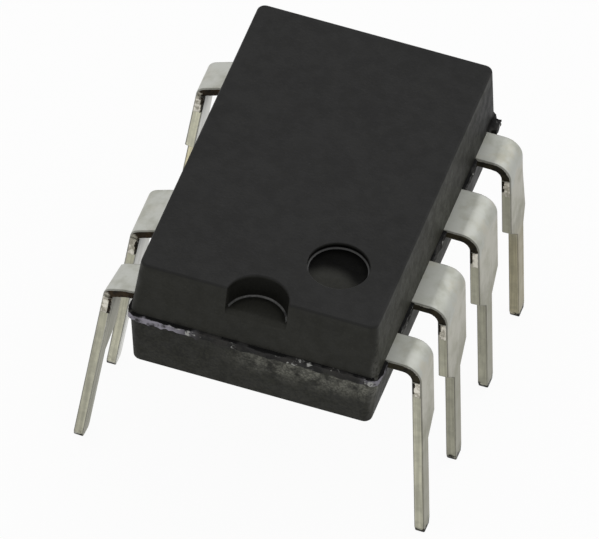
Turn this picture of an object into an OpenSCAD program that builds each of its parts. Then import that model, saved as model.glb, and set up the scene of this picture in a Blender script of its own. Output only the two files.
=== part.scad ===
/* [Package] */
// distance between neighbouring leads in a row
pitch = 2.54; // [2.5:0.01:2.6]
// length of the moulded body at the parting plane, without the flash band
body_length = 9.46; // [9.3:0.01:9.7]
// width of the moulded body at the parting plane, without the flash band
body_width = 6.18; // [6.1:0.01:6.3]
// length of the top face
top_length = 9.30; // [9.1:0.01:9.4]
// width of the top face
top_width = 5.92; // [5.8:0.01:6.05]
// length of the bottom face
bottom_length = 9.16; // [9.0:0.01:9.3]
// width of the bottom face
bottom_width = 5.96; // [5.8:0.01:6.05]
// height of the body above the lead frame
upper_height = 1.60; // [1.5:0.01:1.8]
// height of the body below the lead frame
lower_height = 1.48; // [1.4:0.01:1.7]
// how far the flash band stands out of the body's sides
band_out = 0.10; // [0.05:0.01:0.14]
// cut across the body's upright corners, measured along each side
corner_cut = 0.16; // [0.1:0.01:0.25]
// chamfer round the top and bottom faces
face_chamfer = 0.05; // [0.03:0.01:0.08]

/* [Marks] */
// radius of the half-round end notch
notch_radius = 0.77; // [0.6:0.01:0.9]
// depth of the end notch below the top face
notch_depth = 0.70; // [0.4:0.01:0.9]
// radius of the pin 1 dimple
dimple_radius = 0.75; // [0.5:0.01:0.8]
// depth of the pin 1 dimple
dimple_depth = 0.18; // [0.05:0.01:0.25]
// distance of the dimple from the body's long centre line
dimple_x = 1.48; // [1.3:0.01:1.6]
// distance of the dimple from the body's short centre line
dimple_y = 2.99; // [2.8:0.01:3.1]

/* [Leads] */
// thickness of the stamped lead frame
lead_thickness = 0.25; // [0.22:0.01:0.28]
// width of the narrow pin
pin_width = 0.47; // [0.4:0.01:0.56]
// width of the wide shoulder
shoulder_width = 1.47; // [1.2:0.01:1.6]
// length of the pin below the seating plane
pin_length = 3.30; // [3.0:0.01:3.6]
// gap between the seating plane and the body's bottom face
standoff = 0.53; // [0.4:0.01:0.6]
// height of the taper from shoulder to pin
taper_height = 0.48; // [0.4:0.01:0.6]
// outside radius of the lead's bend
bend_radius = 0.50; // [0.4:0.01:0.6]
// distance of the bend's centre from the body's long centre line
bend_x = 3.525; // [3.5:0.005:3.6]
// angle that each row leans outwards
splay = 4.74; // [2:0.01:7]
// length of the cut dam bar's mark below the bend
dam_bar_length = 0.48; // [0.4:0.01:0.6]
// how far the cut dam bar stands out of the lead's edge
dam_bar_out = 0.04; // [0.02:0.01:0.08]
// cut across the corners of each pin's tip, sideways
tip_cut_side = 0.06; // [0.03:0.01:0.1]
// cut across the corners of each pin's tip, upwards
tip_cut_up = 0.14; // [0.05:0.01:0.2]

/* [Inside] */
// length of the die paddle
paddle_length = 4.90; // [4.8:0.01:5.0]
// width of the die paddle
paddle_width = 3.10; // [3.0:0.01:3.2]
// length of the silicon die
die_length = 2.60; // [2.4:0.01:2.7]
// width of the silicon die
die_width = 1.80; // [1.7:0.01:1.9]
// thickness of the silicon die
die_thickness = 0.28; // [0.25:0.01:0.32]
// thickness of the layer that bonds the die to the paddle
bond_layer = 0.04; // [0.03:0.01:0.06]
// how far the bond layer shows beyond the die on each side
bond_margin = 0.08; // [0.05:0.01:0.12]
// radius of the bond wires
wire_radius = 0.03; // [0.025:0.005:0.04]
// half angle of each bond wire's loop
wire_half_angle = 55; // [50:1:60]
// radius of the flattened ball and foot that end each bond wire
wire_end_radius = 0.08; // [0.07:0.01:0.1]
// height of the flattened ball and foot
wire_end_height = 0.05; // [0.045:0.005:0.06]
// radius of the hole that locks each separate lead into the moulding
lock_radius = 0.25; // [0.2:0.01:0.28]

/* [Hidden] */
$fn = 96;
slack = 1;
corner_angle = 45;
face_drop = 0.1 * face_chamfer;
z_taper = pin_length;
z_pin = z_taper - taper_height;
z_bottom = pin_length + standoff;
z_frame = z_bottom + lower_height;
z_frame_top = z_frame + lead_thickness;
z_top = z_frame_top + upper_height;
bend_z = z_frame_top - bend_radius;
inner_radius = bend_radius - lead_thickness;
row_inner = 0.5 * pitch;
row_outer = 1.5 * pitch;
half_shoulder = shoulder_width / 2;
half_pin = pin_width / 2;
plate_lap = 0.2;
plate_end = body_width / 2 + band_out + plate_lap / 2;
finger_y_out = row_outer + half_pin;
finger_y_in = row_outer - half_shoulder;
die_z = z_frame_top + bond_layer;
die_top = die_z + die_thickness;
finger_turn_x = 2.30;
finger_neck_x = 2.35;
finger_back_x = 2.00;
finger_tip_x = 1.15;
finger_tip_out = 3.45;
finger_tip_in = 2.80;
lock_x = 2.45;
lock_shift = 0.25;
root_tip_x = 0.70;
root_tip_out = 3.20;
root_side_x = 1.40;
root_side_y = 2.60;
root_lap_y = 2.00;
pad_x = 0.62;
pad_y = 0.95;
finger_bond_x = 1.45;
finger_bond_y = 3.02;
drain_pad_y = 1.05;
ground_x = 1.25;
ground_y = 0.30;
ground_pad_x = 0.55;
mould_colour = [0.13, 0.13, 0.13];
tin_colour = [0.72, 0.71, 0.68];
silicon_colour = [0.35, 0.37, 0.42];
bond_colour = [0.70, 0.70, 0.72];
wire_colour = [0.85, 0.68, 0.30];

// one half of the body, as the common part of two drafted profiles and a corner cut
module drafted(height, wide, long, wide_end, long_end) {
    corner = ((wide + long) / 2 - corner_cut) * cos(corner_angle);
    corner_end = ((wide_end + long_end) / 2 - corner_cut) * cos(corner_angle);
    intersection() {
        rotate([90, 0, 0])
            linear_extrude(height = long + slack, center = true)
                profile(wide / 2, wide_end / 2, height);
        rotate([90, 0, 90])
            linear_extrude(height = wide + slack, center = true)
                profile(long / 2, long_end / 2, height);
        rotate([0, 0, corner_angle])
            rotate([90, 0, 0])
                linear_extrude(height = long + wide, center = true)
                    profile(corner, corner_end, height);
        rotate([0, 0, -corner_angle])
            rotate([90, 0, 0])
                linear_extrude(height = long + wide, center = true)
                    profile(corner, corner_end, height);
    }
}

// side view of one drafted half, with the chamfer round its face
module profile(half_base, half_end, height) {
    polygon([
        [-half_base, 0],
        [half_base, 0],
        [half_end + face_drop, height - face_chamfer],
        [half_end - face_chamfer, height],
        [-half_end + face_chamfer, height],
        [-half_end - face_drop, height - face_chamfer]
    ]);
}

// moulding flash at the parting plane, as thick as the lead frame
module band() {
    x = body_width / 2 + band_out;
    y = body_length / 2 + band_out;
    translate([0, 0, z_frame])
        linear_extrude(height = lead_thickness)
            polygon([
                [-x, -y + corner_cut],
                [-x + corner_cut, -y],
                [x - corner_cut, -y],
                [x, -y + corner_cut],
                [x, y - corner_cut],
                [x - corner_cut, y],
                [-x + corner_cut, y],
                [-x, y - corner_cut]
            ]);
}

module moulding() {
    union() {
        translate([0, 0, z_frame_top])
            drafted(upper_height, body_width, body_length, top_width, top_length);
        translate([0, 0, z_frame])
            mirror([0, 0, 1])
                drafted(lower_height, body_width, body_length, bottom_width, bottom_length);
        band();
    }
}

module body() {
    color(mould_colour)
        difference() {
            moulding();
            translate([0, -body_length / 2, z_top - notch_depth])
                cylinder(r = notch_radius, h = notch_depth + slack);
            translate([dimple_x, -dimple_y, z_top - dimple_depth])
                cylinder(r = dimple_radius, h = dimple_depth + slack);
            frame_plate();
            finger_plate();
            mirror([0, 1, 0])
                finger_plate();
            rotate([0, 0, 180])
                finger_plate();
            bond_block();
            die_block();
            wire_at(1);
            wire_at(4);
            wire_at(5);
            wire_at(0);
        }
}

// side view of a bent lead: an outer outline less the same outline set in by the thickness
module lead_outline(radius) {
    polygon([
        [0, bend_z + radius],
        [bend_x, bend_z + radius],
        [bend_x + radius * cos(splay), bend_z + radius * sin(splay)],
        [bend_x + radius / cos(splay) + bend_z * tan(splay), 0],
        [0, 0]
    ]);
    translate([bend_x, bend_z])
        circle(r = radius);
}

module lead_profile() {
    difference() {
        lead_outline(bend_radius);
        lead_outline(inner_radius);
        translate([-slack, -slack])
            square([plate_end - plate_lap + slack, z_top]);
    }
}

// front view of a lead, from its bend down to its tip
module lead_front(side_out, side_in) {
    polygon([
        [-side_in, z_top],
        [-side_in, bend_z],
        [-side_in - dam_bar_out, bend_z],
        [-side_in - dam_bar_out, bend_z - dam_bar_length],
        [-side_in, bend_z - dam_bar_length],
        [-side_in, z_taper],
        [-half_pin, z_pin],
        [-half_pin, tip_cut_up],
        [-half_pin + tip_cut_side, 0],
        [half_pin - tip_cut_side, 0],
        [half_pin, tip_cut_up],
        [half_pin, z_pin],
        [side_out, z_taper],
        [side_out, bend_z - dam_bar_length],
        [side_out + dam_bar_out, bend_z - dam_bar_length],
        [side_out + dam_bar_out, bend_z],
        [side_out, bend_z],
        [side_out, z_top]
    ]);
}

// one lead outside the body, in the +X row, centred on Y = 0
module outer_lead(side_out, side_in) {
    intersection() {
        rotate([90, 0, 0])
            linear_extrude(height = shoulder_width + slack, center = true)
                lead_profile();
        rotate([90, 0, 90])
            linear_extrude(height = bend_x * 2)
                lead_front(side_out, side_in);
    }
}

// the flat finger of lead 1 inside the body, with its locking hole
module finger_plate() {
    translate([0, 0, z_frame])
        linear_extrude(height = lead_thickness)
            difference() {
                polygon([
                    [plate_end, -finger_y_out],
                    [finger_turn_x, -finger_y_out],
                    [finger_tip_x, -finger_tip_out],
                    [finger_tip_x, -finger_tip_in],
                    [finger_back_x, -finger_tip_in],
                    [finger_neck_x, -finger_y_in],
                    [plate_end, -finger_y_in]
                ]);
                translate([lock_x, -row_outer + lock_shift])
                    circle(r = lock_radius);
            }
}

// the die paddle with the roots of the four leads that are one piece with it
module frame_plate() {
    translate([0, 0, z_frame])
        linear_extrude(height = lead_thickness)
            union() {
                square([paddle_width, paddle_length], center = true);
                translate([0, row_inner - half_shoulder])
                    square([plate_end, shoulder_width]);
                translate([-plate_end, -row_inner - half_shoulder])
                    square([2 * plate_end, shoulder_width]);
                polygon([
                    [-plate_end, -finger_y_out],
                    [-finger_turn_x, -finger_y_out],
                    [-root_tip_x, -root_tip_out],
                    [-root_tip_x, -root_lap_y],
                    [-root_side_x, -root_lap_y],
                    [-root_side_x, -root_side_y],
                    [-finger_neck_x, -finger_y_in],
                    [-plate_end, -finger_y_in]
                ]);
            }
}

module lead_frame() {
    color(tin_colour)
        union() {
            frame_plate();
            translate([0, -row_inner, 0])
                outer_lead(half_shoulder, half_shoulder);
            translate([0, row_inner, 0])
                outer_lead(half_shoulder, half_shoulder);
            mirror([1, 0, 0])
                translate([0, -row_inner, 0])
                    outer_lead(half_shoulder, half_shoulder);
            mirror([1, 0, 0])
                translate([0, -row_outer, 0])
                    mirror([0, 1, 0])
                        outer_lead(half_pin, half_shoulder);
        }
}

// a separate lead at the corner of pin 1
module corner_lead() {
    union() {
        finger_plate();
        translate([0, -row_outer, 0])
            mirror([0, 1, 0])
                outer_lead(half_pin, half_shoulder);
    }
}

module lead_1() {
    color(tin_colour)
        corner_lead();
}

module lead_4() {
    color(tin_colour)
        mirror([0, 1, 0])
            corner_lead();
}

module lead_5() {
    color(tin_colour)
        rotate([0, 0, 180])
            corner_lead();
}

module bond_block() {
    translate([0, 0, z_frame_top + bond_layer / 2])
        cube([die_width + 2 * bond_margin, die_length + 2 * bond_margin, bond_layer], center = true);
}

module die_block() {
    translate([0, 0, die_z + die_thickness / 2])
        cube([die_width, die_length, die_thickness], center = true);
}

module die_bond() {
    color(bond_colour)
        bond_block();
}

module die() {
    color(silicon_colour)
        die_block();
}

// a bond wire's loop from a pad on the die to a landing on the frame
module bond_wire(pad, landing) {
    run = norm(landing - pad);
    rise_start = die_top + wire_end_height * 0.8;
    rise_end = z_frame_top + wire_end_height * 0.8;
    chord = sqrt(run * run + pow(rise_start - rise_end, 2));
    tilt = atan2(rise_end - rise_start, run);
    loop_radius = chord / 2 / sin(wire_half_angle);
    heading = atan2(landing[1] - pad[1], landing[0] - pad[0]);
    translate([pad[0], pad[1], 0])
        rotate([0, 0, heading]) {
            translate([0, 0, rise_start])
                rotate([90, 0, 0])
                    rotate([0, 0, tilt])
                        translate([chord / 2, -loop_radius * cos(wire_half_angle), 0])
                            rotate([0, 0, 90 - wire_half_angle])
                                rotate_extrude(angle = 2 * wire_half_angle)
                                    translate([loop_radius, 0])
                                        circle(r = wire_radius);
            translate([0, 0, die_top])
                cylinder(r = wire_end_radius, h = wire_end_height);
            translate([run, 0, z_frame_top])
                cylinder(r = wire_end_radius, h = wire_end_height);
        }
}

module wire_at(which) {
    if (which == 1) {
        bond_wire([pad_x, -pad_y], [finger_bond_x, -finger_bond_y]);
    }
    if (which == 4) {
        bond_wire([pad_x, pad_y], [finger_bond_x, finger_bond_y]);
    }
    if (which == 5) {
        bond_wire([-pad_x, drain_pad_y], [-finger_bond_x, finger_bond_y]);
    }
    if (which == 0) {
        bond_wire([ground_pad_x, 0], [ground_x, ground_y]);
    }
}

module wire_1() {
    color(wire_colour)
        wire_at(1);
}

module wire_4() {
    color(wire_colour)
        wire_at(4);
}

module wire_5() {
    color(wire_colour)
        wire_at(5);
}

module wire_ground() {
    color(wire_colour)
        wire_at(0);
}

body();
lead_frame();
lead_1();
lead_4();
lead_5();
die_bond();
die();
wire_1();
wire_4();
wire_5();
wire_ground();
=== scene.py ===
"""Looks of a dual in-line chip: a moulded body, stamped and bent leads, and the studio round them.

Pieces are modelled in millimetres and brought to metres at the end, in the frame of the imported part.
"""

import math
import random

import bmesh
import bpy
from bpy.props import FloatProperty, FloatVectorProperty, PointerProperty
from mathutils import Matrix, Vector


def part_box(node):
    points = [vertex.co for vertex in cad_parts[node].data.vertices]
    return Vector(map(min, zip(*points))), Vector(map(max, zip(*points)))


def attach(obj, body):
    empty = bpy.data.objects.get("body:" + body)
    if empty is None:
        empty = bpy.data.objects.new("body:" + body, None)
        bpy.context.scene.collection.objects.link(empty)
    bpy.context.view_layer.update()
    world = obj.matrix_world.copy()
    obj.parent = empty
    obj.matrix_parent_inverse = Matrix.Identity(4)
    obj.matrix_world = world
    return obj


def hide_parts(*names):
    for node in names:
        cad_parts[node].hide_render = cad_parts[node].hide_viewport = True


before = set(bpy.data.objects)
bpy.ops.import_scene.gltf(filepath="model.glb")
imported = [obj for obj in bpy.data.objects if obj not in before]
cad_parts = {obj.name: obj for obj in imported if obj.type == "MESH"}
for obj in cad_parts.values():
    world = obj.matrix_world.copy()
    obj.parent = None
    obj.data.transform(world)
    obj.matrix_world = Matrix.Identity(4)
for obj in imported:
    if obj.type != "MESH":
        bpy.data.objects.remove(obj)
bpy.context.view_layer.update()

bl_info = {
    "name": "Dual in-line chip",
    "version": (1, 0, 0),
    "blender": (4, 5, 0),
    "location": "3D View > Sidebar > Chip",
    "description": "Models the visible pieces of a dual in-line chip and its studio",
    "category": "Object",
}

MM = 0.001
PER_METRE = 1000.0
UP = Vector((0, 0, 1))

# Places and sizes in millimetres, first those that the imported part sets

body_low, body_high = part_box("body")
TOP = body_high.z * PER_METRE
BOTTOM = body_low.z * PER_METRE
BAND_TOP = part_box("lead_frame")[1].z * PER_METRE
LEAD_THICKNESS = 0.25
BAND_BOTTOM = BAND_TOP - LEAD_THICKNESS

PITCH = 2.54
LEAD_PLACES = [(1, -1.5), (1, -0.5), (1, 0.5), (1, 1.5), (-1, 1.5), (-1, -0.5), (-1, -1.5)]
TWISTED_LEAD = (-1, -1.5)
DIMPLE_PLACE = (1.48, -2.99)
LEAD_START = 2.9
SHOULDER = 0.735
PIN = 0.235
STOPS = {"bar": 4.58, "taper": 3.30, "pin": 2.82, "tip": 0.14}
BAR_Z = STOPS["bar"]
BEND_X = 3.525
BEND_RADIUS = 0.50
BEND_Z = BAND_TOP - BEND_RADIUS
LEFT_LEG_X = 3.956
SPLAY = math.radians(4.74)
LEFT_SPLAY = math.radians(5.455)
LEFT_FIRST_TURN = math.radians(22)
NEARLY = 0.001


# Sizes and colours that a user would change


class MouldingSettings(bpy.types.PropertyGroup):
    """Sizes and colours of the moulded body."""

    parting_width: FloatProperty(
        name="Parting width", description="Body width at the parting plane", default=6.18 * MM, unit="LENGTH"
    )
    parting_length: FloatProperty(
        name="Parting length", description="Body length at the parting plane", default=9.46 * MM, unit="LENGTH"
    )
    top_width: FloatProperty(
        name="Top width", description="Width of the top face", default=5.92 * MM, unit="LENGTH"
    )
    top_length: FloatProperty(
        name="Top length", description="Length of the top face", default=9.30 * MM, unit="LENGTH"
    )
    bottom_width: FloatProperty(
        name="Bottom width", description="Width of the bottom face", default=5.96 * MM, unit="LENGTH"
    )
    bottom_length: FloatProperty(
        name="Bottom length", description="Length of the bottom face", default=9.16 * MM, unit="LENGTH"
    )
    flash_out: FloatProperty(
        name="Flash", description="How far the flash stands out of the sides", default=0.10 * MM, unit="LENGTH"
    )
    corner_radius: FloatProperty(
        name="Corner radius", description="Rounding of the upright corners", default=0.20 * MM, unit="LENGTH"
    )
    edge_radius: FloatProperty(
        name="Edge radius", description="Rounding round the top and bottom faces", default=0.06 * MM, unit="LENGTH"
    )
    notch_radius: FloatProperty(
        name="Notch radius", description="Radius of the end notch", default=0.77 * MM, unit="LENGTH"
    )
    notch_depth: FloatProperty(
        name="Notch depth", description="Depth of the end notch", default=0.70 * MM, unit="LENGTH"
    )
    dimple_radius: FloatProperty(
        name="Dimple radius", description="Radius of the pin 1 dimple", default=0.75 * MM, unit="LENGTH"
    )
    dimple_depth: FloatProperty(
        name="Dimple depth", description="Depth of the pin 1 dimple", default=0.18 * MM, unit="LENGTH"
    )
    compound: FloatVectorProperty(
        name="Compound", description="Colour of the body", subtype="COLOR", default=(0.0125, 0.0125, 0.0122)
    )
    flash: FloatVectorProperty(
        name="Flash", description="Colour of the broken flash", subtype="COLOR", default=(0.026, 0.025, 0.023)
    )


class LeadSettings(bpy.types.PropertyGroup):
    """Sizes and colours of the leads."""

    edge_radius: FloatProperty(
        name="Edge radius", description="Rounding of the stamped edges", default=0.03 * MM, unit="LENGTH"
    )
    bar_out: FloatProperty(
        name="Dam bar", description="How far the cut dam bar stands out", default=0.04 * MM, unit="LENGTH"
    )
    tin: FloatVectorProperty(
        name="Tin", description="Colour of the tin plating", subtype="COLOR", default=(0.44, 0.43, 0.375)
    )
    pin: FloatVectorProperty(
        name="Pin", description="Colour of the tarnished pins", subtype="COLOR", default=(0.265, 0.260, 0.207)
    )


class StudioSettings(bpy.types.PropertyGroup):
    """The camera and the light."""

    azimuth: FloatProperty(
        name="Azimuth", description="Camera's turn round the part", default=math.radians(14.145), subtype="ANGLE"
    )
    elevation: FloatProperty(
        name="Elevation", description="Camera's height angle", default=math.radians(46.205), subtype="ANGLE"
    )
    roll: FloatProperty(
        name="Roll", description="Camera's turn about its own axis", default=math.radians(5.147), subtype="ANGLE"
    )
    distance: FloatProperty(
        name="Distance", description="Camera's distance from its target", default=0.4, unit="LENGTH"
    )
    focal_length: FloatProperty(
        name="Focal length", description="Camera's focal length in millimetres", default=1002.8
    )
    target: FloatVectorProperty(
        name="Target", description="Point looked at", unit="LENGTH", default=(-0.000208, -0.000046, 0.0035)
    )
    world_strength: FloatProperty(name="World", description="Strength of the world's light", default=0.75)


# Helpers for modelling


def to_object_mode():
    if bpy.context.object and bpy.context.object.mode != "OBJECT":
        bpy.ops.object.mode_set(mode="OBJECT")


def select_only(piece):
    """Leaves just this object selected and active."""
    to_object_mode()
    bpy.ops.object.select_all(action="DESELECT")
    piece.select_set(True)
    bpy.context.view_layer.objects.active = piece


def edit(piece, kind="FACE"):
    """Opens a piece in edit mode with nothing selected."""
    select_only(piece)
    bpy.ops.object.mode_set(mode="EDIT")
    bpy.ops.mesh.select_mode(type=kind)
    bpy.ops.mesh.select_all(action="DESELECT")


def pick(piece, kind, wanted):
    """Selects the vertices, edges or faces that pass a test, and returns how many."""
    bpy.ops.mesh.select_mode(type=kind)
    bpy.ops.mesh.select_all(action="DESELECT")
    mesh = bmesh.from_edit_mesh(piece.data)
    chosen = [part for part in {"VERT": mesh.verts, "EDGE": mesh.edges, "FACE": mesh.faces}[kind] if wanted(part)]
    for part in chosen:
        part.select_set(True)
    bmesh.update_edit_mesh(piece.data)
    return len(chosen)


def pick_faces(piece, wanted):
    """Selects the faces whose centre and normal pass a test."""
    return pick(piece, "FACE", lambda face: wanted(face.calc_center_median(), face.normal))


def pick_edges(piece, wanted):
    """Selects the edges whose two ends pass a test."""
    return pick(piece, "EDGE", lambda edge: wanted(edge.verts[0].co, edge.verts[1].co))


def assign(piece, slot, wanted):
    """Gives the wanted faces a material slot."""
    count = pick_faces(piece, wanted)
    piece.active_material_index = slot
    bpy.ops.object.material_slot_assign()
    return count


def expect(count, least, what):
    if count < least:
        raise RuntimeError(f"{what}: {count} found, {least} needed")


def extrude(move):
    bpy.ops.mesh.extrude_region_move(TRANSFORM_OT_translate={"value": move})


def raise_faces(distance, even=False):
    """Extrudes the selected faces along their normals."""
    bpy.ops.mesh.extrude_region_shrink_fatten(
        TRANSFORM_OT_shrink_fatten={"value": distance, "use_even_offset": even}
    )


def round_edges(radius, segments):
    bpy.ops.mesh.bevel(offset=radius, segments=segments, profile=0.5, affect="EDGES")


def scale_about(centre, factors):
    bpy.ops.transform.resize(value=factors, center_override=centre)


def apply_place(piece):
    select_only(piece)
    bpy.ops.object.transform_apply(location=True, rotation=True, scale=True)


def apply_modifier(piece, kind, **values):
    select_only(piece)
    modifier = piece.modifiers.new(kind.title(), kind)
    for key, value in values.items():
        setattr(modifier, key, value)
    bpy.ops.object.modifier_apply(modifier=modifier.name)


def box_between(low, high):
    """A block between two corners, in place."""
    to_object_mode()
    centre = [(a + b) / 2 for a, b in zip(low, high)]
    size = [b - a for a, b in zip(low, high)]
    bpy.ops.mesh.primitive_cube_add(size=1, location=centre, scale=size)
    block = bpy.context.object
    apply_place(block)
    return block


def cut(piece, cutter):
    """Takes the cutter's volume out of a piece and deletes the cutter."""
    apply_modifier(piece, "BOOLEAN", object=cutter, operation="DIFFERENCE", solver="EXACT")
    bpy.data.objects.remove(cutter, do_unlink=True)


def shade(piece):
    """Smooths the shading over all but the sharp edges."""
    select_only(piece)
    bpy.ops.object.shade_smooth_by_angle(angle=math.radians(32))
    apply_modifier(piece, "WEIGHTED_NORMAL", keep_sharp=True)


def settle(piece, name, node):
    """Brings a piece from millimetres to metres, names it, attaches it to the root, and hides the node it stands
    for.
    """
    select_only(piece)
    bpy.ops.transform.resize(value=(MM, MM, MM), center_override=(0, 0, 0))
    apply_place(piece)
    piece.name = name
    piece.data.name = name
    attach(piece, "root")
    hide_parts(node)


def shoulder_reach(place):
    """How far a lead's shoulder reaches to either side of its pin; the last ones are cut off outside it."""
    return PIN if place < -1 else SHOULDER, PIN if place > 1 else SHOULDER


# Shader helpers


class Nodes:
    """A shader node tree with short calls that add a node and return its output."""

    def __init__(self, tree):
        self.tree = tree

    def feed(self, socket, value):
        """Links an output into a socket, or sets a constant there."""
        if isinstance(value, bpy.types.NodeSocket):
            self.tree.links.new(value, socket)
        else:
            socket.default_value = value

    def node(self, kind, inputs=None, **values):
        """Adds a node with its settings, and links or sets its inputs."""
        node = self.tree.nodes.new(kind)
        for key, value in values.items():
            setattr(node, key, value)
        for key, value in (inputs or {}).items():
            self.feed(node.inputs[key], value)
        return node

    def maths(self, operation, *values, clamp=False):
        node = self.node("ShaderNodeMath", dict(enumerate(values)), operation=operation, use_clamp=clamp)
        return node.outputs[0]

    def times(self, product, *factors):
        for factor in factors:
            product = self.maths("MULTIPLY", product, factor)
        return product

    def length(self, *legs):
        """Length of the slope over two legs at a right angle."""
        return self.maths("SQRT", self.maths("ADD", *(self.maths("POWER", leg, 2.0) for leg in legs)))

    def blend(self, factor, a, b, mode="MIX"):
        node = self.node("ShaderNodeMix", {0: factor}, data_type="RGBA", blend_type=mode)
        for place, value in ((6, a), (7, b)):
            constant = not isinstance(value, bpy.types.NodeSocket)
            self.feed(node.inputs[place], (*value[:3], 1) if constant else value)
        return node.outputs[2]

    def ramp(self, value, low, high, at_low=0.0, at_high=1.0, shape="SMOOTHSTEP"):
        """A value that goes from at_low to at_high as another goes from low to high."""
        ends = {"Value": value, "From Min": low, "From Max": high, "To Min": at_low, "To Max": at_high}
        return self.node("ShaderNodeMapRange", ends, interpolation_type=shape).outputs["Result"]

    def span(self, mask, at_low, at_high):
        """A value that goes from at_low to at_high as a mask goes from 0 to 1."""
        return self.ramp(mask, 0.0, 1.0, at_low, at_high)

    def split(self, vector):
        return self.node("ShaderNodeSeparateXYZ", {"Vector": vector}).outputs

    def join(self, x, y, z):
        return self.node("ShaderNodeCombineXYZ", {"X": x, "Y": y, "Z": z}).outputs[0]

    def noise(self, place, scale, detail=3.0, roughness=0.5):
        inputs = {"Vector": place, "Scale": scale, "Detail": detail, "Roughness": roughness}
        return self.node("ShaderNodeTexNoise", inputs).outputs["Fac"]


def mottle(nodes, given):
    """Cloudy variation at one size, from 0 to 1."""
    cloud = nodes.noise(given["Place"], given["Scale"], 4.0, 0.6)
    return nodes.ramp(cloud, given["Low"], given["High"])


def streaks(nodes, given):
    """Fine lines along the strip, from 0 to 1, across its Y direction."""
    parts = nodes.split(given["Place"])
    factors = {"X": given["Along"], "Y": given["Across"], "Z": given["Along"]}
    stretched = nodes.join(*(nodes.times(parts[axis], factor) for axis, factor in factors.items()))
    return nodes.ramp(nodes.noise(stretched, 1.0, roughness=0.55), given["Low"], given["High"])


def edge_wear_and_light(nodes, given):
    """Where the surface turns over an edge, broken up by noise, from 0 to 1."""
    turned = nodes.node("ShaderNodeBevel", {"Radius": given["Radius"]}, samples=4).outputs["Normal"]
    flat = nodes.node("ShaderNodeNewGeometry").outputs["Normal"]
    dot = nodes.node("ShaderNodeVectorMath", {0: turned, 1: flat}, operation="DOT_PRODUCT").outputs["Value"]
    edge = nodes.maths("MULTIPLY", nodes.maths("SUBTRACT", 1.0, dot), given["Gain"], clamp=True)
    return nodes.times(edge, nodes.ramp(nodes.noise(given["Place"], given["Break up"]), 0.35, 0.6))


def rounding(nodes, given):
    """The rounded edges along the sides of the leads, from 0 to 1."""
    across = nodes.split(nodes.node("ShaderNodeTexCoord").outputs["Normal"])["Y"]
    squared = nodes.maths("POWER", nodes.maths("ABSOLUTE", across), 2.0)
    turned = nodes.maths("SQRT", nodes.times(squared, nodes.maths("SUBTRACT", 1.0, squared, clamp=True)))
    return nodes.ramp(nodes.times(turned, 2.0), given["Low"], given["High"])


def fine_grain(nodes, given):
    """Height of a fine moulded or plated grain."""
    fine = nodes.noise(given["Place"], given["Scale"])
    pits = nodes.node("ShaderNodeTexVoronoi", {"Vector": given["Place"], "Scale": given["Scale"]})
    return nodes.maths("MULTIPLY_ADD", pits.outputs["Distance"], 0.4, fine)


EFFECTS = {
    "Mottle": (mottle, {"Place": None, "Scale": 1.0, "Low": 0.3, "High": 0.7}),
    "Streaks": (streaks, {"Place": None, "Along": 0.3, "Across": 12.0, "Low": 0.3, "High": 0.7}),
    "Worn edges and edge light": (edge_wear_and_light, {"Place": None, "Radius": 0.05 * MM, "Gain": 6.0, "Break up": 8.0}),
    "Rounding": (rounding, {"Low": 0.3, "High": 0.8}),
    "Fine grain": (fine_grain, {"Place": None, "Scale": 14.0}),
}


def build_effect(name):
    """Makes one of the shared effects, as a node group that gives one number."""
    build, sockets = EFFECTS[name]
    tree = bpy.data.node_groups.new(name, "ShaderNodeTree")
    for label, default in sockets.items():
        kind = "NodeSocketVector" if default is None else "NodeSocketFloat"
        socket = tree.interface.new_socket(label, in_out="INPUT", socket_type=kind)
        if default is not None:
            socket.default_value = default
    tree.interface.new_socket("Value", in_out="OUTPUT", socket_type="NodeSocketFloat")
    nodes = Nodes(tree)
    value = build(nodes, tree.nodes.new("NodeGroupInput").outputs)
    nodes.feed(tree.nodes.new("NodeGroupOutput").inputs[0], value)
    return tree


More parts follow.
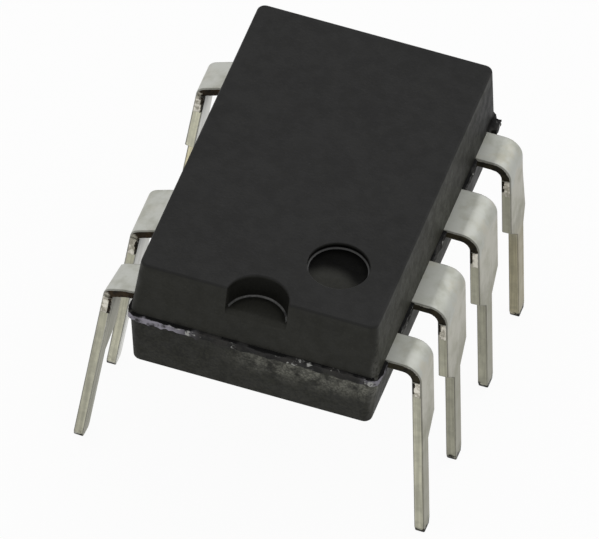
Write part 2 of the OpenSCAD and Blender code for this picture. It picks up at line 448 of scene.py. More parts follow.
class Finish(Nodes):
    """A material as it is built up: its surface, places in millimetres, and its colour so far."""

    def __init__(self, name, metallic=0.0, specular=0.5):
        self.material = bpy.data.materials.get(name) or bpy.data.materials.new(name)
        self.material.use_nodes = True
        super().__init__(self.material.node_tree)
        self.surface = self.tree.nodes["Principled BSDF"].inputs
        self.surface["Metallic"].default_value = metallic
        self.surface["Specular IOR Level"].default_value = specular
        spot = self.node("ShaderNodeTexCoord").outputs["Object"]
        self.place = self.node("ShaderNodeVectorMath", {0: spot, "Scale": PER_METRE}, operation="SCALE").outputs[0]
        self.parts = self.split(self.place)
        self.colour = None

    def effect(self, name, **inputs):
        """Places one of the shared effects, and returns its output."""
        group = bpy.data.node_groups.get(name) or build_effect(name)
        named = {key.replace("_", " ").capitalize(): value for key, value in inputs.items()}
        return self.node("ShaderNodeGroup", named, node_tree=group).outputs[0]

    def mottle(self, scale, low=0.3, high=0.7):
        return self.effect("Mottle", place=self.place, scale=scale, low=low, high=high)

    def along(self, axis, low, high, at_low=0.0, at_high=1.0):
        """A ramp along one axis of the part."""
        return self.ramp(self.parts[axis], low, high, at_low, at_high)

    def away(self, x, y):
        """Distance in plan from a place on the top face."""
        return self.length(self.maths("SUBTRACT", self.parts["X"], x), self.maths("SUBTRACT", self.parts["Y"], y))

    def tint(self, mask, colour, mode="MIX"):
        self.colour = self.blend(mask, self.colour, colour, mode)

    def tint_edge_wear_and_light(self, share, colour, radius, gain, break_up):
        """Lays a colour over the edges, where they are worn and where light or shade is painted on them."""
        worn = self.effect("Worn edges and edge light", place=self.place, radius=radius * MM, gain=gain, break_up=break_up)
        self.tint(self.times(worn, share), colour)

    def close(self, rough, height, strength, distance):
        """Joins up the colour, roughness and bump, and returns the material."""
        if not isinstance(height, bpy.types.NodeSocket):
            height = self.effect("Fine grain", place=self.place, scale=height)
        lumps = self.node("ShaderNodeBump", {"Height": height, "Strength": strength, "Distance": distance * MM})
        self.feed(self.surface["Base Color"], self.colour)
        self.feed(self.surface["Roughness"], rough)
        self.feed(self.surface["Normal"], lumps.outputs["Normal"])
        return self.material


def scaled(colour, factor):
    return tuple(factor * c for c in colour)


# Materials

BLACK = (0.002, 0.002, 0.002)
BARE_METAL = (0.42, 0.40, 0.34)


def make_compound(settings):
    """Matt black epoxy with filler specks, a scuffed near end and worn edges; painted light lifts the sides, the
    edges and the near right corner, and painted shade darkens the hollows, the lower half and the far right side.
    """
    mat = Finish("moulding compound", specular=0.175)
    base = settings.compound
    mat.colour = mat.blend(mat.mottle(0.8), scaled(base, 0.92), scaled(base, 1.12))
    mat.tint(mat.times(mat.mottle(22.0, 0.58, 0.7), 0.35), scaled(base, 2.2))
    # painted light: the side faces lighter than the top, and a little greener
    sides = mat.along("Z", TOP, TOP - 0.08)
    mat.tint(sides, (1.3, 1.3, 1.06), "MULTIPLY")
    # painted light: the right side lighter still, as if lit from the right
    right_side = mat.along("X", 2.95, 3.0)
    mat.tint(right_side, (1.3, 1.3, 1.2), "MULTIPLY")
    coarse = mat.mottle(13.0, 0.35, 0.65)
    rougher = mat.maths("MAXIMUM", mat.along("Z", 5.4, 5.2), mat.along("X", 2.9, 3.0))
    contrast = mat.maths("MULTIPLY_ADD", rougher, 0.65, 0.15)
    patchy = mat.maths("MULTIPLY_ADD", mat.maths("SUBTRACT", coarse, 0.45), contrast, 1.0)
    mat.tint(sides, mat.join(patchy, patchy, patchy), "MULTIPLY")
    # painted shade: the lower half, which faces down, darker than the sides above it, and greener
    below = mat.along("Z", 5.32, 5.22)
    mat.tint(below, (0.75, 0.75, 0.66), "MULTIPLY")
    # painted shade: the far part of the right side much darker
    far_side = mat.times(right_side, mat.along("Y", 0.5, 4.2))
    mat.tint(far_side, (0.1, 0.1, 0.09), "MULTIPLY")

    near_end = mat.along("Y", -4.4, -4.5)
    grit = mat.span(mat.mottle(16.0, 0.35, 0.65), 0.35, 1.0)
    scuffs = mat.times(mat.mottle(2.6, 0.36, 0.60), grit)
    reach = mat.times(mat.along("Z", 4.35, 5.1), mat.along("X", -1.2, 0.8))
    mat.tint(mat.times(below, near_end, scuffs, reach), (0.15, 0.149, 0.126))

    # painted shadow on the dimple floor below its far wall, and painted shade at the foot of the notch wall
    shadow = mat.ramp(mat.away(1.38, -3.62), 0.42, 0.82)
    sunk = mat.times(mat.along("Z", TOP - 0.03, TOP - 0.10), mat.along("Y", -4.6, -4.3))
    dimple = mat.times(sunk, shadow, mat.along("Y", -3.6, -3.1), mat.along("X", 2.6, 2.3))
    away = mat.away(0.0, -4.73)
    wall_foot_shade = mat.times(mat.ramp(away, 0.80, 0.78), mat.ramp(away, 0.55, 0.74))
    notch = mat.times(wall_foot_shade, mat.along("Z", TOP - 0.02, TOP - 0.10), mat.along("Y", -4.72, -4.45))
    hollow = mat.maths("MAXIMUM", mat.times(dimple, 0.92), mat.times(notch, 0.45))
    mat.tint(hollow, BLACK)
    # the painted shade in the hollows is made metallic, and the far right side partly
    mat.feed(mat.surface["Metallic"], mat.maths("MAXIMUM", hollow, mat.times(far_side, 0.35)))

    # painted highlight on the rounded upright corner at the near right
    corner = mat.times(mat.along("X", 2.86, 3.0), mat.along("Y", -4.45, -4.6), mat.along("Z", 6.4, 5.8))
    mat.tint(mat.times(corner, mat.mottle(9.0, 0.35, 0.6), 0.7), (0.085, 0.084, 0.076))
    # lighter edges: worn, and with a painted highlight where the rims catch the light
    mat.tint_edge_wear_and_light(0.2, (0.06, 0.06, 0.055), radius=0.06, gain=3.0, break_up=5.0)
    return mat.close(mat.span(mat.mottle(3.0), 0.52, 0.64), 14.0, 0.35, 0.01)


def make_fillet_highlight(settings):
    """Painted highlight on the fillet at the foot of the notch and the dimple."""
    mat = Finish("painted fillet highlight")
    low = mat.along("Z", 7.0, 6.6, 0.35, 1.0)
    broken = mat.times(mat.mottle(4.0, 0.3, 0.6), low, mat.along("Y", -4.70, -4.45))
    mat.colour = mat.blend(broken, settings.compound, (0.075, 0.075, 0.072))
    return mat.close(mat.span(broken, 0.5, 0.4), 12.0, 0.4, 0.01)


def make_flash(settings):
    """Broken edge of the moulding, with pale fractures and a painted shadow along the top of the band."""
    mat = Finish("moulding flash", specular=0.25)
    cloud = mat.mottle(3.0, 0.4, 0.6)
    mat.colour = mat.blend(cloud, scaled(settings.flash, 0.25), scaled(settings.flash, 1.1))
    near_left = mat.times(mat.along("X", -1.2, -2.2), mat.along("Y", -4.2, -4.6))
    near_right = mat.times(mat.along("X", 2.6, 3.1), mat.along("Y", -4.0, -4.4, 0.0, 0.75))
    pale = mat.times(mat.maths("MAXIMUM", near_left, near_right), mat.mottle(4.0, 0.28, 0.52))
    mat.tint(mat.times(pale, 0.9), (0.30, 0.285, 0.33))
    mat.tint(mat.times(mat.mottle(4.5, 0.60, 0.68), 0.8), (0.42, 0.42, 0.40))
    # painted shadow along the top of the band, where it meets the upper half
    uneven = mat.maths("MULTIPLY_ADD", mat.mottle(1.1, 0.4, 0.6), 0.07, mat.parts["Z"])
    ledge_shadow = mat.ramp(uneven, BAND_TOP - 0.03, BAND_TOP + 0.01)
    mat.tint(ledge_shadow, BLACK)
    return mat.close(mat.maths("MAXIMUM", mat.span(cloud, 0.65, 0.85), ledge_shadow), 10.0, 0.7, 0.02)


def round_and_darken(mat, rounded):
    """Painted shade on the rounded edges, browner far leads, and a roughly sheared dark end."""
    # painted shade on the rounded edges
    mat.tint(mat.times(mat.effect("Rounding"), 0.6), rounded)
    mat.tint(mat.times(mat.along("Y", 2.6, 3.6), mat.along("Z", 3.4, 2.4)), (1.0, 0.94, 0.82), "MULTIPLY")
    ragged = mat.mottle(7.0, 0.35, 0.65)
    mat.tint(mat.times(mat.along("Z", 0.42, 0.30), ragged, 0.35), (0.12, 0.115, 0.095))
    height = mat.maths("MULTIPLY_ADD", ragged, -0.14, mat.parts["Z"])
    mat.tint(mat.ramp(height, 0.10, 0.02), (0.010, 0.009, 0.006))


def make_tin(settings):
    """Satin tin plating, streaked along the strip and browner towards the tips; the left row carries painted
    light, and the edges painted shade.
    """
    mat = Finish("tin", metallic=1.0)
    red, green, blue = settings.tin
    height = mat.maths("ADD", mat.parts["Z"], mat.mottle(1.5))
    mat.colour = mat.blend(mat.ramp(height, 3.2, 4.6), scaled(settings.pin, 1.08), settings.tin)
    mat.tint(mat.ramp(height, 5.4, 5.9), (red * 0.98, green * 1.02, blue * 1.08))
    # painted light: the left row lighter
    mat.tint(mat.along("X", 2.0, -2.0, 0.0, 0.6), (0.56, 0.565, 0.53))
    right_leg = mat.times(mat.along("Z", 3.4, 2.8), mat.along("X", 2.0, 3.0))
    mat.tint(mat.times(right_leg, mat.along("Y", 2.4, 3.6, 0.14, 0.38)), (0.56, 0.55, 0.50))
    lines = mat.effect("Streaks", place=mat.place, along=0.25, across=14.0)
    streaked = mat.times(lines, mat.along("Z", 3.0, 5.0, 0.34, 0.04))
    mat.tint(streaked, (0.17, 0.155, 0.12))
    stains = mat.mottle(2.2, 0.4, 0.7)
    mat.tint(mat.times(stains, 0.35), (0.33, 0.33, 0.26))
    # darker edges: worn, and with painted shade on the rolled edges
    mat.tint_edge_wear_and_light(0.75, (0.15, 0.145, 0.12), radius=0.07, gain=5.0, break_up=6.0)
    round_and_darken(mat, (0.10, 0.097, 0.08))
    rough = mat.ramp(mat.maths("ADD", streaked, stains), 0.0, 1.3, 0.48, 0.60)
    grooves = mat.effect("Streaks", place=mat.place, along=0.5, across=22.0)
    return mat.close(rough, mat.times(grooves, mat.along("Z", 5.0, 3.5)), 0.15, 0.006)


def make_stamped_edge(settings):
    """Side of a stamped lead: burnished above, torn below, and brighter on the nearest and left leads."""
    mat = Finish("stamped edge", metallic=1.0)
    cloud = mat.mottle(3.0)
    above_step = mat.times(mat.along("Z", 2.8, 3.3), mat.along("Y", -3.6, -1.6, 0.0, 0.2))
    right_row = mat.along("Y", -3.6, -1.6, 1.74, 1.18)
    right_row = mat.maths("MULTIPLY_ADD", right_row, above_step, right_row)
    spread = mat.maths("SUBTRACT", mat.along("Y", -4.0, 4.0, 1.75, 2.6), right_row)
    level = mat.maths("MULTIPLY_ADD", spread, mat.maths("LESS_THAN", mat.parts["X"], 0.0), right_row)
    out = mat.maths("ABSOLUTE", mat.parts["X"])
    along_leg = mat.maths("MULTIPLY_ADD", mat.parts["Z"], math.tan(SPLAY), out)
    upright = mat.join(mat.parts["Z"], along_leg, mat.parts["Y"])
    lines = mat.effect("Streaks", place=upright, along=0.4, across=14.0)
    level = mat.times(level, mat.span(cloud, 0.85, 1.15), mat.span(lines, 0.84, 1.1))
    share = mat.ramp(level, 0.8, 3.0, shape="LINEAR")
    mat.colour = mat.blend(share, scaled(settings.pin, 0.8), scaled(settings.pin, 3.0))
    # darker edges: worn, and with painted shade on the rolled edges
    mat.tint_edge_wear_and_light(0.6, (0.10, 0.095, 0.075), radius=0.05, gain=4.0, break_up=6.0)
    round_and_darken(mat, (0.07, 0.067, 0.055))
    return mat.close(mat.span(cloud, 0.42, 0.58), 16.0, 0.5, 0.01)


def make_inner_tin(settings):
    """Inner faces of the left row: bright beside the body, duller on the nearest lead."""
    mat = Finish("inner tin", metallic=1.0)
    lines = mat.effect("Streaks", place=mat.place, along=0.25, across=10.0)
    near = mat.blend(lines, (0.37, 0.365, 0.30), (0.28, 0.275, 0.22))
    far = mat.blend(lines, (0.76, 0.76, 0.73), (0.58, 0.58, 0.54))
    mat.colour = mat.blend(mat.along("Y", -2.9, -2.6), near, far)
    return mat.close(mat.span(lines, 0.5, 0.6), lines, 0.15, 0.006)


def make_sheared(settings):
    """Bright torn metal where the dam bar was cut away."""
    mat = Finish("sheared metal", metallic=1.0)
    cloud = mat.mottle(7.0, 0.38, 0.62)
    mat.colour = mat.blend(cloud, (0.42, 0.395, 0.33), (0.76, 0.73, 0.65))
    return mat.close(mat.span(cloud, 0.6, 0.45), 9.0, 0.5, 0.015)


def make_residue(settings):
    """Dark moulding residue on the leads' sides, browner on the left row, with bare metal beyond it."""
    mat = Finish("moulding residue", specular=0.2)
    cloud = mat.mottle(5.0)
    is_left = mat.maths("LESS_THAN", mat.parts["X"], 0.0)
    dark = mat.blend(cloud, (0.007, 0.006, 0.003), (0.034, 0.029, 0.014))
    brown = mat.blend(cloud, (0.004, 0.003, 0.002), (0.045, 0.028, 0.012))
    mat.colour = mat.blend(is_left, dark, brown)

    beyond = mat.maths("MAXIMUM", mat.maths("SUBTRACT", mat.parts["X"], BEND_X), 0.0)
    reach = mat.length(beyond, mat.maths("SUBTRACT", mat.parts["Z"], BEND_Z))
    limit = mat.maths("MULTIPLY_ADD", cloud, 0.07, BEND_RADIUS - 0.06)
    bare_right = mat.ramp(mat.maths("SUBTRACT", reach, limit), -0.01, 0.02)

    leg_base = LEFT_LEG_X + BEND_Z * math.tan(LEFT_SPLAY)
    leg = mat.maths("MULTIPLY_ADD", mat.parts["Z"], -math.tan(LEFT_SPLAY), leg_base)
    depth = mat.maths("MULTIPLY_ADD", cloud, -0.10, mat.maths("ADD", leg, mat.parts["X"]))
    height = mat.maths("MULTIPLY_ADD", cloud, 0.12, mat.parts["Z"])
    bare_left = mat.times(mat.ramp(height, 5.34, 5.26), mat.ramp(depth, 0.13, 0.09))

    bare = mat.maths("ADD", mat.times(bare_left, is_left), bare_right)
    is_right = mat.maths("SUBTRACT", 1.0, is_left)
    bare = mat.maths("MINIMUM", bare, mat.maths("MAXIMUM", bare_left, is_right))
    mat.tint(bare, BARE_METAL)
    mat.feed(mat.surface["Metallic"], bare)
    return mat.close(mat.span(bare, 0.75, 0.5), 9.0, 0.8, 0.02)


def make_plain(name, colour, metallic, rough, scale):
    """A hidden inner piece: one colour with fine variation."""
    mat = Finish(name, metallic)
    cloud = mat.mottle(scale)
    mat.colour = mat.blend(cloud, scaled(colour, 0.85), colour)
    return mat.close(mat.span(cloud, rough, rough + 0.1), scale * 4, 0.2, 0.004)


def dress_node(name, material):
    """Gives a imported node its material."""
    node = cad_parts[name]
    node.data.materials.clear()
    node.data.materials.append(material)


# The moulded body

COMPOUND_SLOT, FLASH_SLOT, HIGHLIGHT_SLOT = range(3)


def half_sizes(settings):
    """Half of the width and of the length at the parting plane, in millimetres."""
    return settings.parting_width * PER_METRE / 2, settings.parting_length * PER_METRE / 2


def model_slab(settings):
    """The whole block of the moulding, with the flash band round it."""
    half_width, half_length = half_sizes(settings)
    body = box_between((-half_width, -half_length, BAND_BOTTOM), (half_width, half_length, BAND_TOP))
    edit(body)
    ends = (
        (1, TOP - BAND_TOP, settings.top_width, settings.top_length),
        (-1, BOTTOM - BAND_BOTTOM, settings.bottom_width, settings.bottom_length),
    )
    for way, height, width, length in ends:
        expect(pick_faces(body, lambda c, n: n.z * way > 0.9), 1, "end of the slab")
        extrude((0, 0, height))
        scale_about((0, 0, 0), (width / settings.parting_width, length / settings.parting_length, 1))
    upright = lambda a, b: abs(a.z - b.z) > 0.1 and abs(a.x) > 2.5 and abs(b.x) > 2.5
    expect(pick_edges(body, upright), 12, "upright corners")
    round_edges(settings.corner_radius * PER_METRE, 5)
    band = lambda c, n: BAND_BOTTOM < c.z < BAND_TOP and abs(n.z) < 0.5
    expect(pick_faces(body, band), 20, "flash band")
    raise_faces(settings.flash_out * PER_METRE, even=True)
    level = lambda a, b: abs(a.z - b.z) < NEARLY
    at_end = lambda a, b: min(a.z, b.z) > TOP - NEARLY or max(a.z, b.z) < BOTTOM + NEARLY
    expect(pick_edges(body, lambda a, b: level(a, b) and at_end(a, b)), 8, "rims")
    round_edges(settings.edge_radius * PER_METRE, 4)
    to_object_mode()
    return body


def cut_hollow(body, centre, radius, floor, rim, fillet):
    """Cuts a round hollow down from the top face, with a flared rim and a rounded foot."""
    depth = TOP - rim - floor
    bpy.ops.mesh.primitive_cylinder_add(
        vertices=96, radius=radius, depth=depth, location=(*centre, floor + depth / 2)
    )
    plug = bpy.context.object
    apply_place(plug)
    edit(plug, "EDGE")
    pick_edges(plug, lambda a, b: max(a.z, b.z) < floor + NEARLY)
    round_edges(fillet, 5)
    pick_faces(plug, lambda c, n: n.z > 0.9)
    steps = 5
    radius_now, height_now = radius, 0.0
    for step in range(1, steps + 1):
        turn = math.radians(90 * step / steps)
        radius_next = radius + rim * (1 - math.cos(turn))
        height_next = rim * math.sin(turn)
        extrude((0, 0, height_next - height_now))
        factor = radius_next / radius_now
        scale_about((*centre, 0), (factor, factor, 1))
        radius_now, height_now = radius_next, height_next
    extrude((0, 0, 1.0))
    cut(body, plug)


def round_floor_front(body, settings, floor):
    """Rounds the front edge of the notch's floor with three flat cuts."""
    half_length = half_sizes(settings)[1]
    slope = (half_length - settings.top_length * PER_METRE / 2) / (TOP - BAND_TOP)
    front = slope * (floor - BAND_TOP) - half_length
    radius, thickness = 0.15, 0.12
    out = radius + thickness / 2
    for angle in (22.5, 45, 67.5):
        turn = math.radians(angle)
        middle = (0, front + radius - out * math.cos(turn), floor - radius + out * math.sin(turn))
        bpy.ops.mesh.primitive_cube_add(
            size=1, location=middle, rotation=(math.pi / 2 - turn, 0, 0), scale=(1.536, 0.14, thickness)
        )
        wedge = bpy.context.object
        apply_place(wedge)
        cut(body, wedge)


def cut_lead_slots(body):
    """Opens the flash band round each lead."""
    gap = 0.004
    for side, place in LEAD_PLACES:
        y = place * PITCH
        near, far = shoulder_reach(place)
        x_low, x_high = sorted((side * 2.8, side * 3.5))
        low = (x_low, y - near - gap, BAND_BOTTOM - gap)
        cut(body, box_between(low, (x_high, y + far + gap, BAND_TOP + gap)))


def model_moulding(settings):
    """The slab with its notch, dimple and lead slots; returns it with each hollow's place, radius and foot."""
    body = model_slab(settings)
    notch_place = (0, -half_sizes(settings)[1])
    notch_radius = settings.notch_radius * PER_METRE
    floor = TOP - settings.notch_depth * PER_METRE
    cut_hollow(body, notch_place, notch_radius, floor, rim=0.04, fillet=0.05)
    round_floor_front(body, settings, floor)
    dimple_radius = settings.dimple_radius * PER_METRE
    dimple_foot = TOP - settings.dimple_depth * PER_METRE
    cut_hollow(body, DIMPLE_PLACE, dimple_radius, dimple_foot, rim=0.025, fillet=0.04)
    cut_lead_slots(body)
    return body, [(notch_place, notch_radius, floor), (DIMPLE_PLACE, dimple_radius, dimple_foot)]


def paint_fillet_highlights(body, hollows):
    """Gives the fillets at the foot of the notch and the dimple their painted highlight."""

    def fillet(c, n):
        for (x, y), radius, foot in hollows:
            away = math.hypot(c.x - x, c.y - y)
            if radius - 0.06 < away < radius + 0.01 and foot - 0.01 < c.z < foot + 0.035:
                return 0.1 < abs(n.z) < 0.99
        return False

    edit(body)
    expect(assign(body, HIGHLIGHT_SLOT, fillet), 40, "fillets")


def bisect_at(piece, place, normal, wanted):
    """Cuts the wanted faces along a plane."""
    if pick_faces(piece, wanted):
        bpy.ops.mesh.bisect(plane_co=place, plane_no=normal, threshold=0.0001)


def group_faces(piece, name, wanted):
    """Puts the vertices of the wanted faces into a vertex group."""
    pick_faces(piece, wanted)
    mesh = bmesh.from_edit_mesh(piece.data)
    chosen = {vertex.index for face in mesh.faces if face.select for vertex in face.verts}
    to_object_mode()
    piece.vertex_groups.new(name=name).add(list(chosen), 1.0, "REPLACE")


def roughen(piece, group):
    """Moves the vertices of a group along their normals by a cloudy texture."""
    clouds = bpy.data.textures.new("Roughness", "CLOUDS")
    clouds.noise_scale = 0.16
    clouds.noise_depth = 3
    values = {"texture_coords": "LOCAL", "vertex_group": group, "strength": 0.13, "mid_level": 0.83}
    apply_modifier(piece, "DISPLACE", texture=clouds, **values)
    bpy.data.textures.remove(clouds)


def roughen_flash(body, settings):
    """Breaks the outer faces of the flash into small ragged cells, and raises a tab beside lead 4."""
    half_width, half_length = half_sizes(settings)
    beyond = lambda c: abs(c.x) > half_width + 0.002 or abs(c.y) > half_length + 0.002
    wanted = lambda c, n: BAND_BOTTOM - 0.01 < c.z < BAND_TOP + 0.01 and beyond(c)
    edit(body)
    chance = random.Random(11)
    for half, normal in ((half_width, Vector((1, 0, 0))), (half_length, Vector((0, 1, 0)))):
        place = -half
        while place < half:
            place += chance.uniform(0.05, 0.11)
            bisect_at(body, normal * place, normal, wanted)
    for share in (0.33, 0.66):
        bisect_at(body, UP * (BAND_BOTTOM + share * (BAND_TOP - BAND_BOTTOM)), UP, wanted)
    tab = lambda c, n: c.x > half_width + 0.09 and 4.12 < c.y < 4.60 and n.x > 0.9
    expect(pick_faces(body, tab), 3, "flash tab")
    raise_faces(0.13)
    assign(body, FLASH_SLOT, wanted)
    group_faces(body, "flash", lambda c, n: wanted(c, n) and abs(n.z) < 0.5)
    roughen(body, "flash")


class CHIP_OT_add_moulding(bpy.types.Operator):
    """Models the moulded body with its notch, dimple and broken flash"""

    bl_idname = "chip.add_moulding"
    bl_label = "Moulded body"

    def execute(self, context):
        settings = context.scene.chip_moulding
        body, hollows = model_moulding(settings)
        body.data.materials.clear()
        for make in (make_compound, make_flash, make_fillet_highlight):
            body.data.materials.append(make(settings))
        paint_fillet_highlights(body, hollows)
        roughen_flash(body, settings)
        shade(body)
        settle(body, "moulding", "body")
        return {"FINISHED"}


# The leads

TIN_SLOT, STAMPED_SLOT, SHEARED_SLOT, RESIDUE_SLOT, INNER_SLOT = range(5)


def widen(piece, low, high):
    """Stretches the selected end face to lie between two places across the lead."""
    mesh = bmesh.from_edit_mesh(piece.data)
    places = [vertex.co.y for vertex in mesh.verts if vertex.select]
    now_low, now_high = min(places), max(places)
    middle = (now_low + now_high) / 2
    scale_about((0, middle, 0), (1, (high - low) / (now_high - now_low), 1))
    bpy.ops.transform.translate(value=(0, (high + low) / 2 - middle, 0))


def turn_down(side, y, centre_x, centre_z, angle, steps):
    bpy.ops.mesh.spin(steps=steps, angle=-side * angle, center=(side * centre_x, y, centre_z), axis=(0, 1, 0))


def bend_right(side, y):
    """One even bend; returns the level of its centre."""
    extrude((side * (BEND_X - LEAD_START), 0, 0))
    turn_down(side, y, BEND_X, BEND_Z, math.pi / 2 - SPLAY, 14)
    return BEND_Z


def bend_left(side, y):
    """A slight bend at the body, a sloping length and a tight bend, as this row is bent."""
    first_x, first_radius = 3.27, 0.50
    sloping, last_radius = 0.328, 0.30
    extrude((side * (first_x - LEAD_START), 0, 0))
    turn_down(side, y, first_x, BAND_TOP - first_radius, LEFT_FIRST_TURN, 5)
    along_x, along_z = math.cos(LEFT_FIRST_TURN), -math.sin(LEFT_FIRST_TURN)
    extrude((side * sloping * along_x, 0, sloping * along_z))
    end_x = first_x + first_radius * math.sin(LEFT_FIRST_TURN) + sloping * along_x
    end_z = BAND_TOP - first_radius * (1 - math.cos(LEFT_FIRST_TURN)) + sloping * along_z
    centre_x = end_x + last_radius * along_z
    centre_z = end_z - last_radius * along_x
    turn_down(side, y, centre_x, centre_z, math.pi / 2 - LEFT_SPLAY - LEFT_FIRST_TURN, 10)
    return centre_z


def draw_lead(piece, side, place):
    """Draws one lead outwards from the end face of its inner part."""
    y = place * PITCH
    near, far = shoulder_reach(place)
    swell = 0.16 if place > 1 else 0.0
    end = lambda c, n: abs(c.x - side * LEAD_START) < 0.01 and abs(n.x) > 0.9 and abs(c.y - y) < 1.0
    expect(pick_faces(piece, end), 1, "end face of a lead")
    bend, splay = (bend_right, SPLAY) if side > 0 else (bend_left, LEFT_SPLAY)
    level = bend(side, y)
    along = Vector((side * math.sin(splay), 0, -math.cos(splay)))
    widths = {"bar": (near, far), "taper": (near, far + swell), "pin": (PIN, PIN), "tip": (PIN, PIN)}
    for stop, height in STOPS.items():
        extrude(along * ((level - height) / math.cos(splay)))
        level = height
        widen(piece, y - widths[stop][0], y + widths[stop][1])
    extrude(along * (level / math.cos(splay)))
    narrower = 0.06
    widen(piece, y - PIN + narrower, y + PIN - narrower)
    scale_about((0, 0, 0), (1, 1, 0))


def twist_lead(piece, side, place):
    """Turns a lead about its near edge outside the moulding, and its leg half of the way back."""
    y = place * PITCH
    turn = math.radians(6)
    outside = lambda c, n: c.x * side > 3.28 and abs(c.y - y) < 1.2
    leg = lambda c, n: outside(c, n) and c.z < BAR_Z
    for part, angle in ((outside, turn), (leg, -turn / 2)):
        expect(pick_faces(piece, part), 1, "faces to twist")
        bpy.ops.transform.rotate(value=angle, orient_axis="Z", center_override=(side * LEFT_LEG_X, y - PIN, 0))


def shear_tips(piece, leads):
    """Cuts a corner off each side of each lead's tip, as the shears left it."""
    chance = random.Random(7)
    for side, place in leads:
        y = place * PITCH
        pin = lambda c, n: abs(c.y - y) < 0.5 and c.x * side > 0 and c.z < 2.0
        for end in (-1, 1):
            height = chance.uniform(0.03, 0.07)
            inward = chance.uniform(0.06, 0.11)
            expect(pick_faces(piece, pin), 5, "faces of a tip")
            cut_off(place=(0, y + end * PIN, height), normal=(0, end * height, -inward))


def cut_off(place, normal):
    """Cuts the selected part of a piece along a plane, and closes it there."""
    bpy.ops.mesh.bisect(plane_co=place, plane_no=normal, use_fill=True, clear_outer=True, threshold=0.0001)


def copy_of_node(name):
    """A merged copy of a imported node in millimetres."""
    piece = bpy.data.objects.new(name + "_copy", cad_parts[name].data.copy())
    bpy.context.collection.objects.link(piece)
    piece.data.materials.clear()
    select_only(piece)
    bpy.ops.transform.resize(value=(PER_METRE,) * 3, center_override=(0, 0, 0))
    apply_place(piece)
    edit(piece, "VERT")
    merge_all()
    bpy.ops.mesh.dissolve_limited(angle_limit=math.radians(1))
    to_object_mode()
    return piece


def merge_all():
    """Selects the whole piece and joins the vertices that coincide."""
    bpy.ops.mesh.select_all(action="SELECT")
    bpy.ops.mesh.remove_doubles(threshold=0.0005)


def is_stamped(edge):
    """Whether an edge is sharp and lies on a lead that was drawn again."""
    inner, outer = sorted(abs(vertex.co.x) for vertex in edge.verts)
    drawn = inner > LEAD_START - 0.01 and outer >= LEAD_START + 0.01
    return drawn and edge.calc_face_angle(0) > math.radians(40)


def dress_leads(piece, settings):
    """Rounds the stamped edges, and raises the cut dam bars and the moulding residue."""
    pick(piece, "EDGE", is_stamped)
    round_edges(settings.edge_radius * PER_METRE, 2)
    side_face = lambda c, n: abs(n.y) > 0.95 and abs(c.x) > LEAD_START + 0.02
    assign(piece, STAMPED_SLOT, lambda c, n: side_face(c, n) and c.z < BAR_Z)
    assign(piece, INNER_SLOT, lambda c, n: c.x < -3.3 and n.x > 0.5 and c.z < 5.3)
    assign(piece, SHEARED_SLOT, lambda c, n: side_face(c, n) and BAR_Z < c.z < BEND_Z)
    bpy.ops.mesh.subdivide(number_cuts=5)
    raise_faces(settings.bar_out * PER_METRE)
    bpy.ops.transform.vertex_random(offset=0.012, uniform=0.3, normal=0.7, seed=4)

    leg_x = lambda c: BEND_X + BEND_RADIUS if c.x > 0 else LEFT_LEG_X
    depth = lambda c: leg_x(c) + (BEND_Z - c.z) * math.tan(SPLAY) - abs(c.x)
    stuck = lambda c, n: abs(n.y) > 0.5 and BAR_Z < c.z < BEND_Z and depth(c) > 0.17 and abs(c.x) > BEND_X
    assign(piece, RESIDUE_SLOT, stuck)
    assign(piece, RESIDUE_SLOT, lambda c, n: side_face(c, n) and c.z > BEND_Z)
    raise_faces(0.012)
    bpy.ops.transform.vertex_random(offset=0.006, uniform=0.0, normal=1.0, seed=9)

    foot = 0.0005
    pick(piece, "VERT", lambda vertex: vertex.co.z < foot)
    scale_about((0, 0, foot), (1, 1, 0))


def model_leads(settings, node, leads, finishes):
    """The inner part of a node as it was packed, with its leads drawn again from there."""
    piece = copy_of_node(node)
    for finish in finishes:
        piece.data.materials.append(finish)
    edit(piece)
    for side in sorted({side for side, place in leads}):
        bpy.ops.mesh.select_all(action="SELECT")
        cut_off(place=(side * LEAD_START, 0, 0), normal=(side, 0, 0))
    for side, place in leads:
        draw_lead(piece, side, place)
    merge_all()
    bpy.ops.mesh.select_all(action="SELECT")
    bpy.ops.mesh.normals_make_consistent(inside=False)
    shear_tips(piece, leads)
    if TWISTED_LEAD in leads:
        twist_lead(piece, *TWISTED_LEAD)
    dress_leads(piece, settings)
    to_object_mode()
    return piece


class CHIP_OT_add_leads(bpy.types.Operator):
    """Models the lead frame and the separate leads"""

    bl_idname = "chip.add_leads"
    bl_label = "Leads"

    def execute(self, context):
        settings = context.scene.chip_leads
        pieces = {
            "lead_frame": [(1, -0.5), (1, 0.5), (-1, -0.5), (-1, -1.5)],
            "lead_1": [(1, -1.5)],
            "lead_4": [(1, 1.5)],
            "lead_5": [(-1, 1.5)],
        }
        makers = (make_tin, make_stamped_edge, make_sheared, make_residue, make_inner_tin)
        finishes = [make(settings) for make in makers]
        for node, leads in pieces.items():
            piece = model_leads(settings, node, leads, finishes)
            shade(piece)
            settle(piece, "tinned_" + node, node)
        return {"FINISHED"}


class CHIP_OT_dress_inside(bpy.types.Operator):
    """Finishes the chip, its bond layer and its wires inside the moulding"""

    bl_idname = "chip.dress_inside"
    bl_label = "Inside"

    def execute(self, context):
        dress_node("die", make_plain("silicon", (0.10, 0.11, 0.14), 0.0, 0.25, 6.0))
        dress_node("die_bond", make_plain("bond layer", (0.45, 0.45, 0.46), 0.4, 0.5, 8.0))
        gold = make_plain("gold wire", (0.85, 0.55, 0.20), 1.0, 0.25, 10.0)
        for name in ("wire_1", "wire_4", "wire_5", "wire_ground"):
            dress_node(name, gold)
        return {"FINISHED"}


# The studio

PALE = (0.995, 0.995, 0.995, 1)


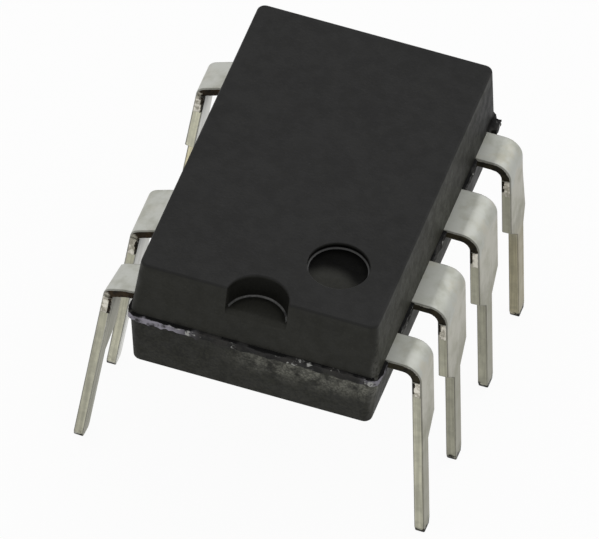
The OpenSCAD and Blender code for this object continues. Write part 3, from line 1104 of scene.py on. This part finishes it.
def seen_rays(nodes):
    """1 for what the camera sees directly, in a mirror or through glass."""
    rays = nodes.node("ShaderNodeLightPath").outputs
    mirror = nodes.maths("MAXIMUM", rays["Is Glossy Ray"], rays["Is Transmission Ray"])
    return nodes.maths("MAXIMUM", rays["Is Camera Ray"], mirror)


def make_world(settings):
    """A white surround that lights the part evenly."""
    world = bpy.data.worlds.new("studio")
    world.use_nodes = True
    bpy.context.scene.world = world
    nodes = Nodes(world.node_tree)
    light = nodes.tree.nodes["Background"]
    light.inputs["Color"].default_value = (1, 1, 1, 1)
    light.inputs["Strength"].default_value = settings.world_strength
    seen = nodes.node("ShaderNodeBackground", {"Color": PALE, "Strength": 1.0})
    mix = nodes.node("ShaderNodeMixShader", {0: seen_rays(nodes), 1: light.outputs[0], 2: seen.outputs[0]})
    nodes.feed(nodes.tree.nodes["World Output"].inputs["Surface"], mix.outputs[0])


def make_floor():
    """A pale floor that keeps a faint shadow, and is open from below."""
    material = bpy.data.materials.new("pale floor")
    material.use_nodes = True
    nodes = Nodes(material.node_tree)
    surface = nodes.tree.nodes["Principled BSDF"]
    surface.inputs["Base Color"].default_value = (0.9, 0.9, 0.89, 1)
    surface.inputs["Roughness"].default_value = 0.9
    surface.inputs["Specular IOR Level"].default_value = 0.0
    white = nodes.node("ShaderNodeEmission", {"Color": PALE, "Strength": 1.0})
    share = nodes.times(seen_rays(nodes), 0.95)
    top = nodes.node("ShaderNodeMixShader", {0: share, 1: surface.outputs[0], 2: white.outputs[0]})
    clear = nodes.node("ShaderNodeBsdfTransparent")
    under = nodes.node("ShaderNodeNewGeometry").outputs["Backfacing"]
    both = nodes.node("ShaderNodeMixShader", {0: under, 1: top.outputs[0], 2: clear.outputs[0]})
    nodes.feed(nodes.tree.nodes["Material Output"].inputs["Surface"], both.outputs[0])
    return material


def add_camera(settings):
    """Places the camera by its angles round the target."""
    level, height = math.cos(settings.elevation), math.sin(settings.elevation)
    back = Vector((math.sin(settings.azimuth) * level, -math.cos(settings.azimuth) * level, height))
    right = (-back).cross(UP).normalized()
    upward = right.cross(-back)
    rolled_right = right * math.cos(settings.roll) + upward * math.sin(settings.roll)
    rolled_up = upward * math.cos(settings.roll) - right * math.sin(settings.roll)
    camera = bpy.data.objects.new("camera", bpy.data.cameras.new("camera"))
    camera.data.lens = settings.focal_length
    camera.data.clip_start = 0.01
    camera.data.clip_end = 10
    turn = Matrix((rolled_right, rolled_up, back)).transposed()
    place = Vector(settings.target) + back * settings.distance
    camera.matrix_world = Matrix.Translation(place) @ turn.to_4x4()
    bpy.context.scene.collection.objects.link(camera)
    bpy.context.scene.camera = camera


def add_lamp(name, place, target, size, power):
    """Places a round area lamp that faces a target."""
    lamp = bpy.data.lights.new(name, "AREA")
    lamp.shape = "DISK"
    lamp.size = size
    lamp.energy = power
    holder = bpy.data.objects.new(name, lamp)
    bpy.context.scene.collection.objects.link(holder)
    holder.location = place
    holder.rotation_mode = "QUATERNION"
    holder.rotation_quaternion = (Vector(place) - Vector(target)).to_track_quat("Z", "Y")


class CHIP_OT_add_studio(bpy.types.Operator):
    """Adds the camera, the lights, the world and the floor"""

    bl_idname = "chip.add_studio"
    bl_label = "Studio"

    def execute(self, context):
        settings = context.scene.chip_studio
        context.scene.view_settings.view_transform = "Standard"
        add_camera(settings)
        make_world(settings)
        add_lamp("back_key", place=(0.08, 0.20, 0.12), target=(0, 0, 0.005), size=0.24, power=0.11)
        bpy.ops.mesh.primitive_plane_add(size=1.6, location=(0, 0, 0))
        floor = context.object
        floor.name = "floor"
        apply_place(floor)
        floor.data.materials.append(make_floor())
        return {"FINISHED"}


class VIEW3D_PT_chip(bpy.types.Panel):
    """Lists the pieces of the chip and the studio"""

    bl_label = "Chip"
    bl_idname = "VIEW3D_PT_chip"
    bl_space_type = "VIEW_3D"
    bl_region_type = "UI"
    bl_category = "Chip"

    def draw(self, context):
        for operator in OPERATORS:
            self.layout.operator(operator.bl_idname)


OPERATORS = [CHIP_OT_add_moulding, CHIP_OT_add_leads, CHIP_OT_dress_inside, CHIP_OT_add_studio]
SETTINGS = {"chip_moulding": MouldingSettings, "chip_leads": LeadSettings, "chip_studio": StudioSettings}
CLASSES = [*SETTINGS.values(), *OPERATORS, VIEW3D_PT_chip]


def register():
    for each in CLASSES:
        bpy.utils.register_class(each)
    for name, group in SETTINGS.items():
        setattr(bpy.types.Scene, name, PointerProperty(type=group))


def unregister():
    for name in SETTINGS:
        delattr(bpy.types.Scene, name)
    for each in reversed(CLASSES):
        bpy.utils.unregister_class(each)


def main():
    register()
    bpy.ops.chip.add_moulding()
    bpy.ops.chip.add_leads()
    bpy.ops.chip.dress_inside()
    bpy.ops.chip.add_studio()


if __name__ == "__main__":
    main()
